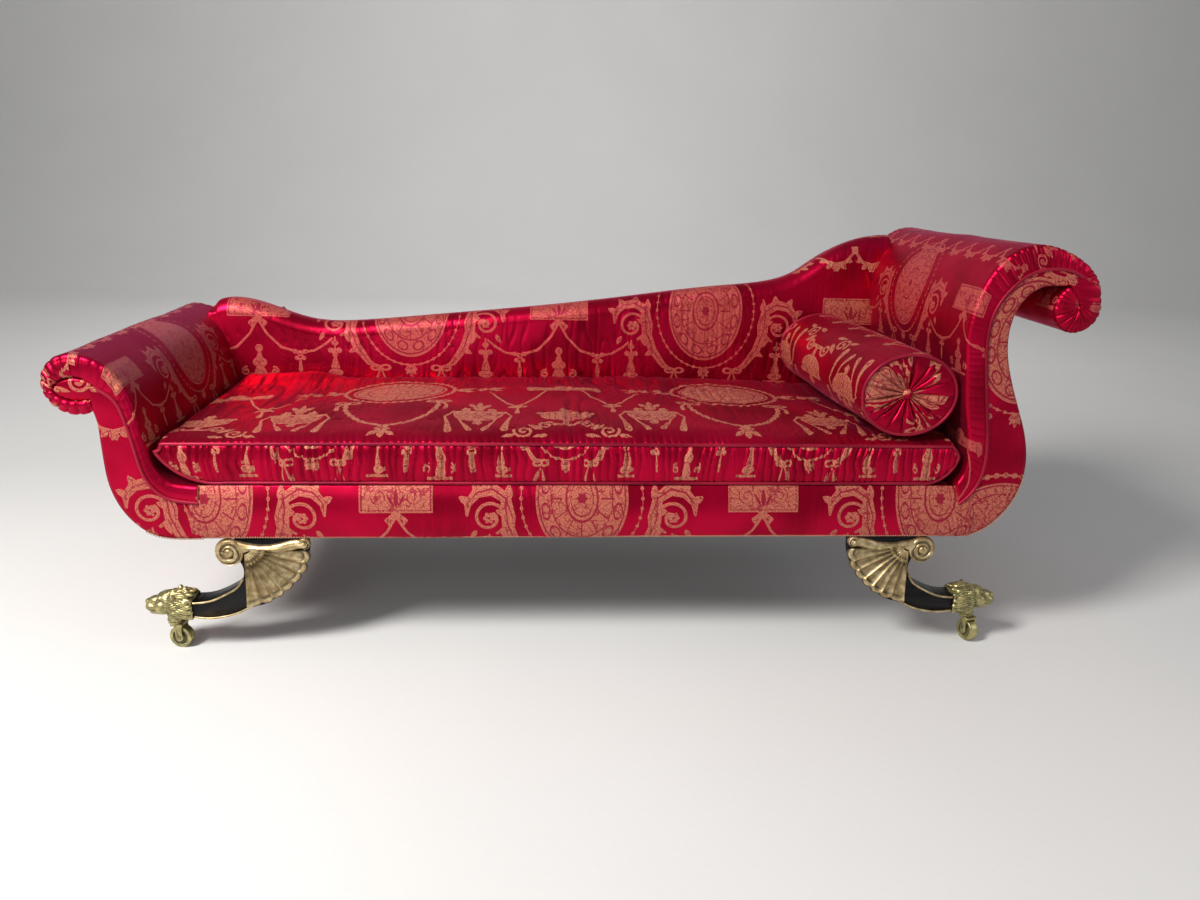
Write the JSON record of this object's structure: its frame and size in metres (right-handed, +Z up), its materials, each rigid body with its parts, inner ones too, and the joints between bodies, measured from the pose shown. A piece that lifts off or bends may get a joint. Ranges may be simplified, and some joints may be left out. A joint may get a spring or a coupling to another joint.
{
  "type": "recamier",
  "caption": "Upholstered daybed with a high and a low scrolled end, a sloping back, a loose seat cushion and a bolster, on swept legs with lion-head caps and castors.",
  "frame": {"origin": "on the floor, under the middle of the bounding box", "axes": "+X towards the high (head) end, +Y towards the back, +Z up"},
  "size_m": [2.155, 0.704, 0.9061],
  "materials": {
    "silk_lampas": "crimson figured silk over hair stuffing",
    "silk_welt": "crimson and gold piping and gimp",
    "beech_frame": "planed, unfinished",
    "ebonised_leg": "ebonised, satin polish",
    "gilt_carving": "water gilt, rubbed",
    "cast_brass": "cast, lacquered, worn",
    "bolt_steel": "plain",
    "linen_webbing": "woven linen",
    "black_cambric": "plain weave"
  },
  "bodies": {
    "frame": {"back_pad": "silk_lampas", "back_tacking_rail": "beech_frame", "back_top_rail": "beech_frame", "back_uprights": "beech_frame", "corner_blocks": "beech_frame", "cross_webbing": "linen_webbing", "dust_cover": "black_cambric", "frame_dowels": "beech_frame", "front_left_leg": "ebonised_leg", "front_left_leg_carving": "gilt_carving", "front_left_lion_cap": "cast_brass", "front_rail_cover": "silk_lampas", "front_right_leg": "ebonised_leg", "front_right_leg_carving": "gilt_carving", "front_right_lion_cap": "cast_brass", "front_seat_rail": "beech_frame", "left_end_laths": "beech_frame", "left_end_pad": "silk_lampas", "left_front_facing": "silk_lampas", "left_front_standard": "beech_frame", "left_front_welt": "silk_welt", "left_outside_panel": "silk_lampas", "left_rear_standard": "beech_frame", "left_seat_rail": "beech_frame", "leg_bolts": "bolt_steel", "long_webbing": "linen_webbing", "outside_back_panel": "silk_lampas", "rear_facings": "silk_lampas", "rear_left_leg": "ebonised_leg", "rear_left_leg_carving": "gilt_carving", "rear_left_lion_cap": "cast_brass", "rear_right_leg": "ebonised_leg", "rear_right_leg_carving": "gilt_carving", "rear_right_lion_cap": "cast_brass", "rear_seat_rail": "beech_frame", "rear_welts": "silk_welt", "right_end_laths": "beech_frame", "right_end_pad": "silk_lampas", "right_front_facing": "silk_lampas", "right_front_standard": "beech_frame", "right_front_welt": "silk_welt", "right_outside_panel": "silk_lampas", "right_rear_standard": "beech_frame", "right_seat_rail": "beech_frame", "seat_platform": "silk_lampas", "seat_stretchers": "beech_frame"},
    "seat_cushion": {"seat_cushion": "silk_lampas", "seat_cushion_welts": "silk_welt"},
    "bolster": {"bolster": "silk_lampas", "bolster_welts": "silk_welt", "bolster_buttons": "silk_lampas"},
    "front_left_castor": {"front_left_castor_horn": "cast_brass"},
    "front_left_wheel": {"front_left_castor_wheel": "cast_brass"},
    "front_right_castor": {"front_right_castor_horn": "cast_brass"},
    "front_right_wheel": {"front_right_castor_wheel": "cast_brass"},
    "rear_left_castor": {"rear_left_castor_horn": "cast_brass"},
    "rear_left_wheel": {"rear_left_castor_wheel": "cast_brass"},
    "rear_right_castor": {"rear_right_castor_horn": "cast_brass"},
    "rear_right_wheel": {"rear_right_castor_wheel": "cast_brass"}
  },
  "joints": [
    {"name": "cushion_draw", "type": "slide", "parent": "frame", "child": "seat_cushion", "axis": [0, -0.9945, 0.1045], "range_m": [0, 0.42]},
    {"name": "bolster_lift", "type": "slide", "parent": "seat_cushion", "child": "bolster", "axis": [-0.5, 0, 0.866], "range_m": [0, 0.35]},
    {"name": "front_left_swivel", "type": "hinge", "parent": "frame", "child": "front_left_castor", "pos_m": [-0.893, -0.314, 0.06], "axis": [0, 0, 1], "continuous": true},
    {"name": "front_left_roll", "type": "hinge", "parent": "front_left_castor", "child": "front_left_wheel", "pos_m": [-0.88167, -0.316, 0.025], "axis": [0.1736, 0.9848, 0], "continuous": true},
    {"name": "front_right_swivel", "type": "hinge", "parent": "frame", "child": "front_right_castor", "pos_m": [0.911, -0.314, 0.06], "axis": [0, 0, 1], "continuous": true},
    {"name": "front_right_roll", "type": "hinge", "parent": "front_right_castor", "child": "front_right_wheel", "pos_m": [0.91398, -0.32511, 0.025], "axis": [0.9659, 0.2588, 0], "continuous": true},
    {"name": "rear_left_swivel", "type": "hinge", "parent": "frame", "child": "rear_left_castor", "pos_m": [-0.893, 0.314, 0.06], "axis": [0, 0, 1], "continuous": true},
    {"name": "rear_left_roll", "type": "hinge", "parent": "rear_left_castor", "child": "rear_left_wheel", "pos_m": [-0.88561, 0.32281, 0.025], "axis": [-0.766, 0.6428, 0], "continuous": true},
    {"name": "rear_right_swivel", "type": "hinge", "parent": "frame", "child": "rear_right_castor", "pos_m": [0.911, 0.314, 0.06], "axis": [0, 0, 1], "continuous": true},
    {"name": "rear_right_roll", "type": "hinge", "parent": "rear_right_castor", "child": "rear_right_wheel", "pos_m": [0.9044, 0.32342, 0.025], "axis": [-0.8192, -0.5736, 0], "continuous": true}
  ]
}
